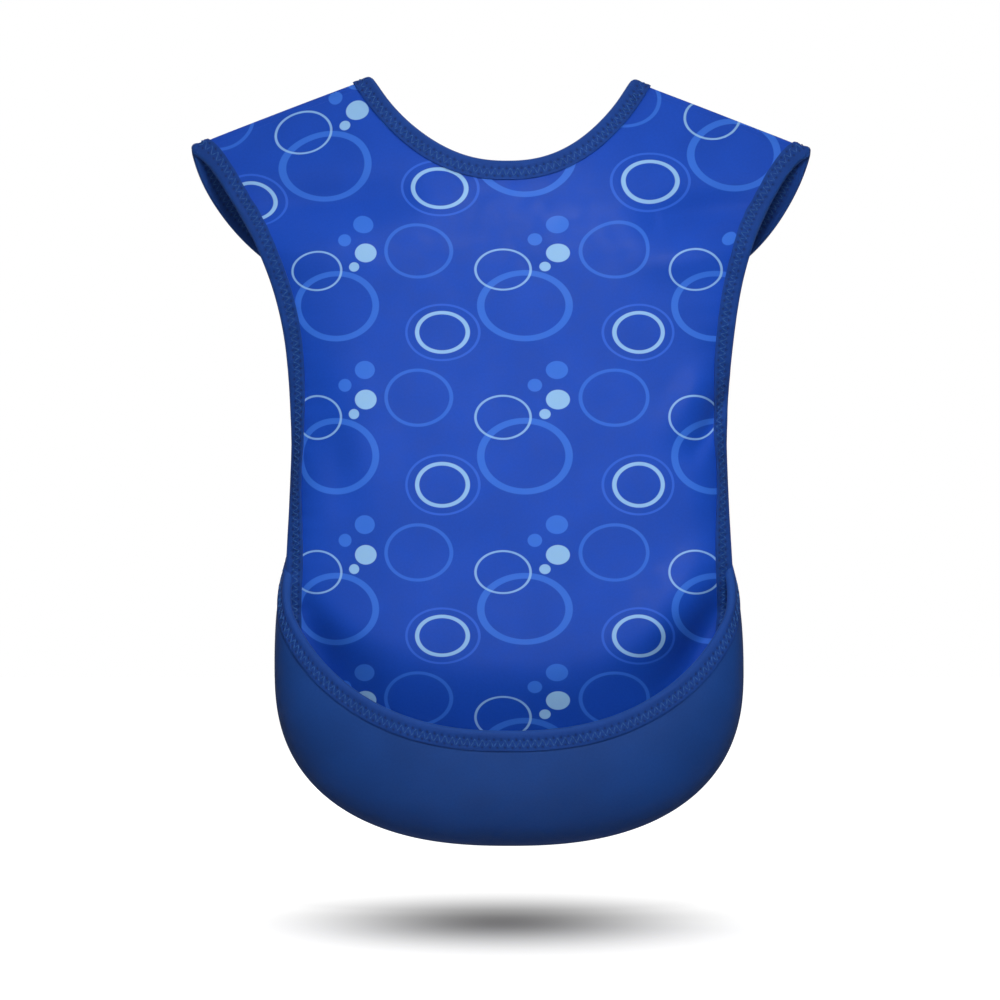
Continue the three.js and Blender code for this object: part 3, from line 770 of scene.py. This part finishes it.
def thread():
    """Twisted thread, with painted shade in the twist's grooves and a painted highlight on its
    ridges.
    """
    shader, place = cloth_shader("thread")
    along, around, _ = shader.parts(place)
    along, around = shader.times(along, 5200.0), shader.times(around, 3700.0)
    twist = shader.math("SINE", shader.math("ADD", along, around))
    # painted shade and highlight: darker where the twist's bump is low, paler where it is high
    color = shader.mix(shader.ramp(twist, -1.0, 1.0), linear(22, 70, 142), linear(44, 98, 172))
    normal = shader.bump(twist, 0.06 * MM, 0.6)
    return shader.finish(color, 0.6, normal, sheen=0.1, specular=0.3)


def fastener(name, color, scale, depth):
    """Hook or loop tape: a dense field of small points or fuzz, with painted shade in the points'
    pits.
    """
    shader, place = cloth_shader(name)
    cells = shader.node("ShaderNodeTexVoronoi", {"Vector": place, "Scale": scale})
    fuzz = shader.noise(place, scale * 1.8, 4.0)
    # painted shade: darker in the pits of the bump, paler on the raised parts between them
    tint = shader.mix(shader.ramp(cells, 0.1, 0.6), color, linear(64, 92, 150))
    tint = shader.mix(shader.ramp(fuzz, 0.45, 0.7, 0.0, 0.4), tint, linear(14, 28, 66))
    normal = shader.bump(cells, depth, 0.9)
    normal = shader.bump(fuzz, depth * 0.6, 0.7, normal)
    return shader.finish(tint, 0.85, normal, sheen=0.6, specular=0.2)


PRINTED = printed_cloth()
LINING = plain_cloth("lining_cloth", linear(8, 30, 80), 0.8 * MM, 0.8, sheen=0.08)
POCKET_CLOTH = plain_cloth("pocket_cloth", linear(24, 69, 145), 0.6 * MM, 0.55, sheen=0.04)
TAPE = tape_cloth()
THREAD = thread()
HOOK = fastener("hook_tape", linear(16, 32, 74), 900.0, 0.5 * MM)
LOOP = fastener("loop_tape", linear(26, 50, 104), 1500.0, 0.35 * MM)


def printed_sheets(name, pattern, surface, place, outer_side):
    """A printed panel's two sheets. outer_side is 1 where the surface's normal faces out."""
    flat = np.moveaxis(pattern, -1, 0)
    normals = normals_of(surface, *flat) * outer_side
    return two_sheets(name, surface(*flat), normals, PRINTED, place)


def declare_sheet(piece, node):
    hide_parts(node)


def bound(name, edge, body=None):
    """A bound edge: its tape and its stitching."""
    binding = tape(name.replace("binding", "tape"), edge)
    pieces = [binding, stitching(name.replace("binding", "stitching"), edge)]
    for piece in pieces:
        if body:
            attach(piece, body)
    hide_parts(name)
    return pieces


FRONT_COLUMNS, FRONT_ROWS = 181, 190
FRONT_FIRST_ROW = 0.0003  # its share of the length: one row lies close below the edge
NECK_SHARE = 0.46  # the neck's share of the columns


def front_pattern():
    corner = neck_corner(NECK_DROP, FOLD_STRIP)
    sleeve = sleeve_corner()

    def top(u):
        side = 2 * u - 1
        reach = np.abs(side)
        x = np.interp(reach, [0, NECK_SHARE, 1], [0, corner, sleeve])
        z = np.where(reach <= NECK_SHARE, neck_z(x, NECK_DROP), shoulder_z(x) - FOLD_STRIP)
        return np.stack([np.sign(side) * x, z], -1)

    hem = by_length(quarter((0, HIP_Z), cut_half(HIP_Z), HEM_DEPTH, HEM_POWERS))

    def bottom(u):
        side = 2 * u - 1
        point = hem(np.abs(side))
        return np.stack([np.sign(side) * point[..., 0], point[..., 1]], -1)

    top_z = top(1)[1]

    def side(sign):
        def run(v):
            z = top_z + (HIP_Z - top_z) * v
            return np.stack([sign * cut_half(z), z], -1)

        return run

    rows = FRONT_FIRST_ROW + (1 - FRONT_FIRST_ROW) * np.linspace(0, 1, FRONT_ROWS) ** 1.2
    columns = np.linspace(0, 1, FRONT_COLUMNS)
    return four_sided(top, bottom, side(-1), side(1), columns, np.append(0, rows))


def build_front():
    pattern = front_pattern()
    place = print_place(pattern[..., 0], pattern[..., 1])
    outer, lining = printed_sheets("front", pattern, front_surface, place, -1)
    corner = neck_corner(NECK_DROP, FOLD_STRIP)
    x = np.linspace(-corner, corner, 200)
    outline = np.stack([x, neck_z(x, NECK_DROP)], -1)
    trims = bound("neck_binding", edge_of(front_surface, outline, -1), "root")
    z = np.linspace(shoulder_z(sleeve_corner()) - FOLD_STRIP, SIDE_TAPE_END_Z, 300)
    for name, sign in (("left", -1), ("right", 1)):
        outline = np.stack([sign * cut_half(z), z], -1)
        edge = edge_of(front_surface, outline, -sign)
        trims += bound(f"{name}_side_binding", edge, "root")
    for piece in (outer, lining):
        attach(piece, "root")
    declare_sheet(outer, "front_outer")
    declare_sheet(lining, "front_lining")


FLAP_FOLD_SHARE = 0.045  # of the columns, for the strip that runs on over the fold
FLAP_FIRST_COLUMN = 0.0008  # one column lies close to the strip's edge


def flap_outline():
    """The right flap's edges: neck over the fold, back neck, tab, sleeve over the fold, lower."""
    front_corner, fold_corner = neck_corner(NECK_DROP, FOLD_STRIP), neck_corner(NECK_DROP, 0)
    back_corner = neck_corner(BACK_NECK_DROP, 0)
    x = np.linspace(front_corner, fold_corner, 12)
    over = np.stack(mirror_in_fold(x, neck_z(x, NECK_DROP))[:2], -1)
    x = np.linspace(back_corner, TAB_CENTRE[0], 160)
    neck = np.stack([x, neck_z(x, BACK_NECK_DROP)], -1)
    turn = np.linspace(0, math.pi, 90)
    tab = TAB_CENTRE + np.stack([-TAB_WIDTH * np.sin(turn), TAB_HEIGHT * np.cos(turn)], -1)
    sleeve = cut_half(SLEEVE_Z)
    lowest = SLEEVE_Z - (TAB_CENTRE[1] - TAB_HEIGHT)
    lower = quarter((TAB_CENTRE[0], SLEEVE_Z), sleeve - TAB_CENTRE[0], lowest, FLAP_POWERS)[::-1]
    z = np.linspace(shoulder_z(sleeve_corner()) - FOLD_STRIP, shoulder_z(sleeve), 12)
    tip = np.stack(mirror_in_fold(cut_half(z), z)[:2], -1)
    return over, neck, tab, tip, lower


def joined(first, second, share):
    """Two polylines end to end, as one function whose first part takes that share."""
    one, two = by_length(first), by_length(second)

    def run(u):
        early, late = one(u / share), two((u - share) / (1 - share))
        return np.where((u < share)[..., None], early, late)

    return run


def build_flap(name, sign, lap, patch_name, patch_side, patch_material):
    over, neck, tab, tip, lower = flap_outline()
    top, bottom = joined(over, neck, FLAP_FOLD_SHARE), joined(tip, lower, FLAP_FOLD_SHARE)
    start, end = over[0], tip[0]

    def fold_edge(v):
        return start + (end - start) * v[..., None]

    over_fold = np.append(0, np.linspace(FLAP_FIRST_COLUMN, FLAP_FOLD_SHARE, 12))
    beyond = FLAP_FOLD_SHARE + (1 - FLAP_FOLD_SHARE) * np.linspace(0, 1, 92)[1:] ** 1.4
    us = np.concatenate([over_fold, beyond])
    pattern = four_sided(top, bottom, fold_edge, by_length(tab), us, np.linspace(0, 1, 57))
    pattern = pattern * np.array([sign, 1])
    surface = flap_surface(lap)
    place = print_place(*mirror_in_fold(pattern[..., 0], pattern[..., 1], sign)[:2])
    outer, lining = printed_sheets(name, pattern, surface, place, 1)
    outline = np.concatenate([over, neck[1:], tab[1:], lower[::-1][1:], tip[::-1][1:]])
    trims = bound(f"{name}_binding", edge_of(surface, outline * np.array([sign, 1]), sign))
    for piece in (outer, lining, *trims):
        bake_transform(piece)
    patch = build_patch(patch_name, sign, surface, patch_side, patch_material)
    for piece in patch:
        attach(piece, name)
    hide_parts(patch_name)
    declare_sheet(outer, f"{name}_outer")
    declare_sheet(lining, f"{name}_lining")


def build_patch(name, sign, surface, side, material):
    """A fastening patch with round corners, and its row of straight stitches."""
    centre, half = (PATCH_LOW + PATCH_HIGH) / 2, (PATCH_HIGH - PATCH_LOW) / 2

    def spot(u, v):
        squeeze = np.sqrt(1 - PATCH_CORNER * v**2), np.sqrt(1 - PATCH_CORNER * u**2)
        x = sign * (centre[0] + half[0] * u * squeeze[0])
        return x, TAB_CENTRE[1] + half[1] * v * squeeze[1]

    share = np.linspace(-1, 1, 41)
    x, z = spot(*np.meshgrid(share, share))
    points, normals = surface(x, z), normals_of(surface, x, z) * side
    low = CLOTH_MIDDLE + CLOTH_THICK / 2 + PATCH_GAP
    high = low + PATCH_THICK
    patch = slab(f"{name}_face", points, normals, low, high, material, on_cloth(x, z))
    one = np.ones(len(share))
    sides = [(share, -one), (one, share), (-share, one), (-one, -share)]
    ring = np.concatenate([np.stack(pair, -1) for pair in sides]) * PATCH_SEWN
    stations = PATCH_STITCHES * PATCH_STITCH_STATIONS
    x, z = spot(*by_length(ring)(np.linspace(0, 1, stations + 1))[:-1].T)
    normal = normals_of(surface, x, z) * side
    stitch = np.sin(np.arange(stations) / PATCH_STITCH_STATIONS * math.pi)
    height = high + THREAD_RADIUS * (1.1 * stitch - 0.5)
    line = surface(x, z) + normal * height[:, None]
    sideways = np.cross(unit(np.roll(line, -1, 0) - np.roll(line, 1, 0)), normal)
    thick = THREAD_RADIUS * 1.2
    rings, turn = tube(line, sideways, normal, thick, thick, THREAD_SIDES)
    closed = np.concatenate([rings, rings[:1]])
    faces = grid_faces(stations + 1, THREAD_SIDES, around=True)
    cloth = on_cloth(np.arange(stations + 1)[:, None] * 0.17 * MM, turn * THREAD_RADIUS)
    return [patch, make_piece(f"{name}_stitching", closed, faces, THREAD, cloth)]


# ---- the pocket
def rim_half():
    """Half of the rim, from its top end beside the front's edge to its middle."""
    across, down, forward = RIM_POWERS
    turn = np.linspace(math.pi / 2, 0, 160)
    fall = np.maximum(np.cos(turn), 0)
    side_y = RIM_SIDE_BACK - CHEST_DEPTH
    curve = np.stack([
        RIM_HALF * np.sin(turn) ** across,
        side_y - (RIM_FORWARD + RIM_SIDE_BACK) * fall**forward,
        RIM_TOP_Z - RIM_DROP * fall**down,
    ], -1)
    whole = np.concatenate([[[RIM_HALF, side_y, POCKET_TOP_Z]], curve])
    line = by_length(whole)(np.linspace(0, 1, 400))
    return line + smoothstep(line[:, 2:], TUCK_FROM_Z, POCKET_TOP_Z) ** 1.5 * RIM_TUCK


def seam_half():
    """Half of the seam round the front, from its top end to its lowest point."""
    share = np.linspace(1, 0, 40)[:-1]
    z = HIP_Z + (POCKET_SEAM_TOP_Z - HIP_Z) * share
    upright = np.stack([POCKET_HALF - POCKET_TOP_NARROWING * share**2, z], -1)
    hem = quarter((0, HIP_Z), POCKET_HALF, POCKET_HEM_DEPTH, HEM_POWERS)[::-1]
    x, z = np.concatenate([upright, hem]).T
    rise = np.maximum(z - HIP_Z, 0) / (POCKET_SEAM_TOP_Z - HIP_Z)
    y = front_surface(np.minimum(x, cut_half(z)), z)[:, 1]
    line = np.stack([x, y + POCKET_SEAM_BACK + POCKET_SEAM_TOP_BACK * rise**2, z], -1)
    return line + smoothstep(z, TUCK_FROM_Z, POCKET_SEAM_TOP_Z)[:, None] ** 1.5 * SEAM_TUCK


def pocket_wall():
    """The pocket's middle surface: a grid of ribs from the rim to the seam, and their lengths."""
    side = np.linspace(-1, 1, POCKET_COLUMNS)
    mirror = np.where(side[:, None] < 0, [-1, 1, 1], 1)
    start = by_length(rim_half())(1 - np.abs(side)) * mirror
    end = by_length(seam_half())(1 - np.abs(side)) * mirror
    turn = np.linspace(0, math.pi / 2, 120)
    down = np.sin(turn) ** POCKET_BELLY
    back = 1 - np.maximum(np.cos(turn), 0) ** POCKET_BELLY
    ribs = start[:, None] + (end - start)[:, None] * np.stack([down, back, down], -1)
    wall = np.stack([by_length(rib)(np.linspace(0, 1, POCKET_ROWS)) for rib in ribs], 1)
    return wall, np.array([along_line(rib)[-1] for rib in ribs])


def pocket_surface(wall, lengths):
    """The wall as a function of the share along the rim and the distance in from it."""
    def surface(share, reach):
        column = np.clip(share, 0, 1) * (POCKET_COLUMNS - 1)
        length = np.interp(column, np.arange(POCKET_COLUMNS), lengths)
        row = np.clip(reach / length, 0, 1) * (POCKET_ROWS - 1)
        c = np.minimum(column.astype(int), POCKET_COLUMNS - 2)
        r = np.minimum(row.astype(int), POCKET_ROWS - 2)
        fc, fr = (column - c)[..., None], (row - r)[..., None]
        upper = wall[r, c] * (1 - fc) + wall[r, c + 1] * fc
        lower = wall[r + 1, c] * (1 - fc) + wall[r + 1, c + 1] * fc
        return upper * (1 - fr) + lower * fr

    return surface


def build_pocket():
    wall, lengths = pocket_wall()
    normals = unit(np.cross(np.gradient(wall, axis=1), np.gradient(wall, axis=0)))
    if normals[0, POCKET_COLUMNS // 2, 1] > 0:
        normals = -normals
    share, down = np.linspace(0, 1, POCKET_COLUMNS), np.linspace(0, 1, POCKET_ROWS)[:, None]
    steps = along_line(wall[0])
    sag = POCKET_SAG * np.sin(share * 9 + 0.6) * np.sin(down * math.pi)
    points = wall + normals * sag[..., None]
    place = on_cloth(steps, -down * lengths)
    outer, lining = two_sheets("pocket", points, normals, POCKET_CLOTH, place)
    trims = bound("pocket_rim_binding", rim_edge(points, normals, lengths, steps))
    for piece in (outer, lining, *trims):
        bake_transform(piece)
    width = along_line(wall[POCKET_ROWS // 2])[-1]
    declare_sheet(outer, "pocket_outer")
    declare_sheet(lining, "pocket_lining")
    build_seam_tape(wall[-1])


def rim_edge(points, normals, lengths, steps):
    """Places points along the pocket's rim, by reach down the wall and height out of it."""
    surface = pocket_surface(points, lengths)
    normal_at = pocket_surface(normals, lengths)
    outwards = unit(points[0] - points[2])
    shares = np.linspace(0, 1, POCKET_COLUMNS)

    def place(along, reach, height):
        along, reach, height = np.broadcast_arrays(along, reach, height)
        share, inside = np.interp(along, steps, shares), np.maximum(reach, 0)
        normal = unit(normal_at(share, inside))
        out = between(share, shares, outwards) * np.maximum(-reach, 0)[..., None]
        return surface(share, inside) + out + normal * height[..., None], normal

    return place, steps[-1]


def build_seam_tape(line):
    """The turned-in seam that joins the pocket to the front's edge, along the wall's end."""
    back = np.broadcast_to([0, 1, 0], line.shape)
    outwards = unit(np.cross(unit(np.gradient(line, axis=0)), back))
    if outwards[POCKET_COLUMNS // 2, 2] > 0:
        outwards = -outwards
    middle = line + back * SEAM_BACK - outwards * SEAM_IN
    points, turn = tube(middle, outwards, back, SEAM_HALF, SEAM_THICK_HALF, SEAM_SIDES)
    cloth = on_cloth(along_line(line)[:, None], turn * 2 * MM)
    faces = grid_faces(POCKET_COLUMNS, SEAM_SIDES, around=True)
    seam = make_piece("pocket_seam_tape", points, faces, TAPE, cloth)
    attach(seam, "root")


# ---- stage, light, camera
VIEW_DISTANCE = 4.5
VIEW_WIDTH = 493.5 * MM  # what the picture takes in at the front of the chest
VIEW_CENTRE = (-0.5 * MM, -38 * MM, -207.8 * MM)
FLOOR_Z = -413.5 * MM
FLOOR_HALF = 6.0
FLOOR_GLOW, FLOOR_GLOW_REACH = (0.95, 1.1), (0.4, 1.4)  # near the middle and far out, and where
SHADOW_CENTRE = (0, -90 * MM)  # of the painted shadow, a soft dark oval on the floor under the bib
SHADOW_HALF = (147 * MM, 400 * MM)
SHADOW_DEPTH = 0.9
ROOM_LIGHT = 0.13  # on the bib. The camera sees the surroundings white.


def build_stage():
    """A pale floor that glows a little, so that far out it is as bright as its surroundings. A soft
    shadow is painted on it under the bib.
    """
    corners = ((-1, -1), (1, -1), (1, 1), (-1, 1))
    points = [(x * FLOOR_HALF, y * FLOOR_HALF, FLOOR_Z) for x, y in corners]
    shader = Shader("stage")
    place = shader.node("ShaderNodeTexCoord", output=3)
    tint = shader.mix(shader.noise(place, 3.0), (0.94, 0.94, 0.94, 1), (0.96, 0.96, 0.96, 1))
    moved = shader.vector("SUBTRACT", place, (*SHADOW_CENTRE, FLOOR_Z))
    away = shader.vector("LENGTH", shader.vector("DIVIDE", moved, (*SHADOW_HALF, 1)), output=1)
    painted_shadow = shader.ramp(away, 0.0, 1.0, SHADOW_DEPTH, 0.0)
    # painted shadow: the oval darkens the floor's colour, and so its glow too
    tint = shader.mix(painted_shadow, tint, (0.05, 0.048, 0.05, 1))
    far = shader.vector("LENGTH", place, output=1)
    glow = shader.ramp(far, *FLOOR_GLOW_REACH, *FLOOR_GLOW)
    shader.link(shader.surface.inputs["Emission Color"], tint)
    shader.link(shader.surface.inputs["Emission Strength"], glow)
    normal = shader.bump(shader.noise(place, 40.0), 0.1 * MM, 0.1)
    lit_part = shader.mix(0.6, tint, (0, 0, 0, 1))
    material = shader.finish(lit_part, 0.9, normal, sheen=0, specular=0.1)
    mesh = bpy.data.meshes.new("stage_floor")
    mesh.from_pydata(points, [], [(0, 1, 2, 3)])
    mesh.materials.append(material)
    floor = add_object("stage_floor", mesh)
    floor.visible_diffuse = floor.visible_glossy = floor.visible_shadow = False


def area_light(name, place, target, size, power, spread=180):
    """A round softbox. spread is the width of its beam in degrees."""
    light = bpy.data.lights.new(name, "AREA")
    light.shape = "DISK"
    light.size = size
    light.energy = power
    light.spread = math.radians(spread)
    lamp = add_object(name, light)
    lamp.location = place
    direction = Vector(target) - Vector(place)
    lamp.rotation_euler = direction.to_track_quat("-Z", "Y").to_euler()


def build_light():
    world = bpy.data.worlds.new("studio")
    world.use_nodes = True
    nodes, links = world.node_tree.nodes, world.node_tree.links
    background = nodes["Background"].inputs
    background["Color"].default_value = (1, 1, 1, 1)
    seen = nodes.new("ShaderNodeLightPath").outputs["Is Camera Ray"]
    strength = nodes.new("ShaderNodeMapRange")
    strength.inputs["To Min"].default_value = ROOM_LIGHT
    links.new(seen, strength.inputs["Value"])
    links.new(strength.outputs[0], background["Strength"])
    bpy.context.scene.world = world
    area_light("key", (0.12, -1.5, 0.45), (0.01, -0.05, -0.16), 0.4, 0.75, spread=34)
    area_light("fill", (-0.1, -2.0, -0.3), (0, 0, -0.25), 0.5, 1.7)
    area_light("low", (0, -1.0, -1.3), (0, -0.06, -0.33), 0.6, 2.3)
    area_light("top", (0.02, -0.1, 1.6), (0, -0.1, -0.4), 2.0, 7.5)
    area_light("behind", (-0.7, 2.4, 0.7), (0, 0, -0.2), 1.0, 16)
    bpy.context.scene.view_settings.view_transform = "Standard"


def build_camera():
    camera = bpy.data.cameras.new("camera")
    camera.sensor_width = 36
    camera.lens = camera.sensor_width * VIEW_DISTANCE / VIEW_WIDTH
    camera.clip_end = 50
    viewer = add_object("camera", camera)
    x, y, z = VIEW_CENTRE
    viewer.location = (x, y - VIEW_DISTANCE, z)
    viewer.rotation_euler = (math.pi / 2, 0, 0)
    bpy.context.scene.camera = viewer


build_camera()
build_stage()
build_light()
build_front()
build_flap("right_flap", 1, LAP_RISE, "hook_patch", -1, HOOK)
build_flap("left_flap", -1, 0, "loop_patch", 1, LOOP)
build_pocket()
